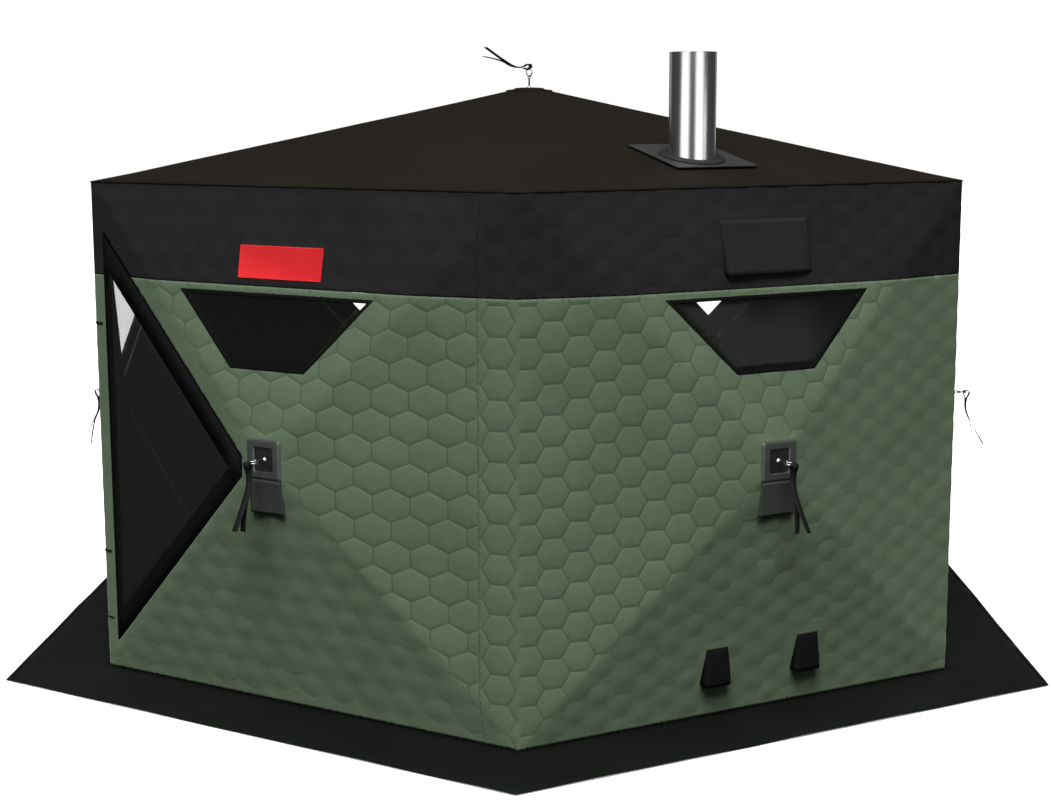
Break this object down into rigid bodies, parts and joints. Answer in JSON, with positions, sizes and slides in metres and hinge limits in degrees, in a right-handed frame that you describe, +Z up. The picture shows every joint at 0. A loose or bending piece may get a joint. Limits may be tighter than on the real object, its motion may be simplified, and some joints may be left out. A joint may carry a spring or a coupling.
{
  "type": "six-sided insulated pop-up hub ice fishing shelter",
  "caption": "Soft-sided hexagonal hub shelter with quilted walls popped outward at their hubs, low roof, snow skirt, mesh door, clear windows and a stove pipe.",
  "frame": {"origin": "centre of the six-sided plan, on the ground", "axes": "+Z up, +Y from the front corner to the back corner, +X to the right seen from the front"},
  "size_m": [3.7816, 4.3666, 2.2969],
  "materials": {
    "green_quilt": "matt quilted polyester",
    "black_quilt": "matt quilted polyester",
    "roof_fabric": "smooth coated polyester",
    "skirt_fabric": "coated polyester",
    "window_film": "clear flexible film",
    "door_binding": "matt polyester",
    "door_netting": "fine netting",
    "webbing": "woven",
    "hub_grey": "glossy moulded",
    "hub_black": "moulded",
    "bright_wire": "plated",
    "pole_fibreglass": "drawn glass fibre",
    "stove_steel": "bright stainless",
    "mat_rubber": "moulded silicone",
    "collar_rubber": "moulded silicone",
    "flap_fabric": "coated polyester",
    "hood_fabric": "stiffened polyester",
    "label_red": "woven"
  },
  "bodies": {
    "shelter": {"wall_front_left": "green_quilt", "band_front_left": "black_quilt", "window_front_left": "window_film", "wall_front_right": "green_quilt", "band_front_right": "black_quilt", "window_front_right": "window_film", "wall_right": "green_quilt", "band_right": "black_quilt", "window_right": "window_film", "wall_back_right": "green_quilt", "band_back_right": "black_quilt", "window_back_right": "window_film", "wall_back_left": "green_quilt", "band_back_left": "black_quilt", "window_back_left": "window_film", "wall_left": "green_quilt", "band_left": "black_quilt", "window_left": "window_film", "door_jamb": "green_quilt", "door_margin_upper": "green_quilt", "door_margin_lower": "green_quilt", "door_ties": "webbing", "roof": "roof_fabric", "snow_skirt": "skirt_fabric", "hub_plates": "hub_grey", "hub_bodies": "hub_black", "hub_flaps": "flap_fabric", "eye_bolts": "bright_wire", "pull_rings": "bright_wire", "pull_straps": "webbing", "wall_poles": "pole_fibreglass", "roof_hub_cap": "roof_fabric", "roof_hub_body": "hub_black", "roof_poles": "pole_fibreglass", "stove_mat": "mat_rubber", "stove_collar": "collar_rubber", "stove_pipe": "stove_steel", "vent_flap": "flap_fabric", "air_vents": "hood_fabric", "label_patch": "label_red"},
    "door": {"door_border": "door_binding", "door_mesh": "door_netting"}
  },
  "joints": [
    {"name": "door_swing", "type": "hinge", "parent": "shelter", "child": "door", "pos_m": [-1.51266, -0.93946, 0.86], "axis": [0, 0, -1], "range_deg": [0, 160]}
  ]
}
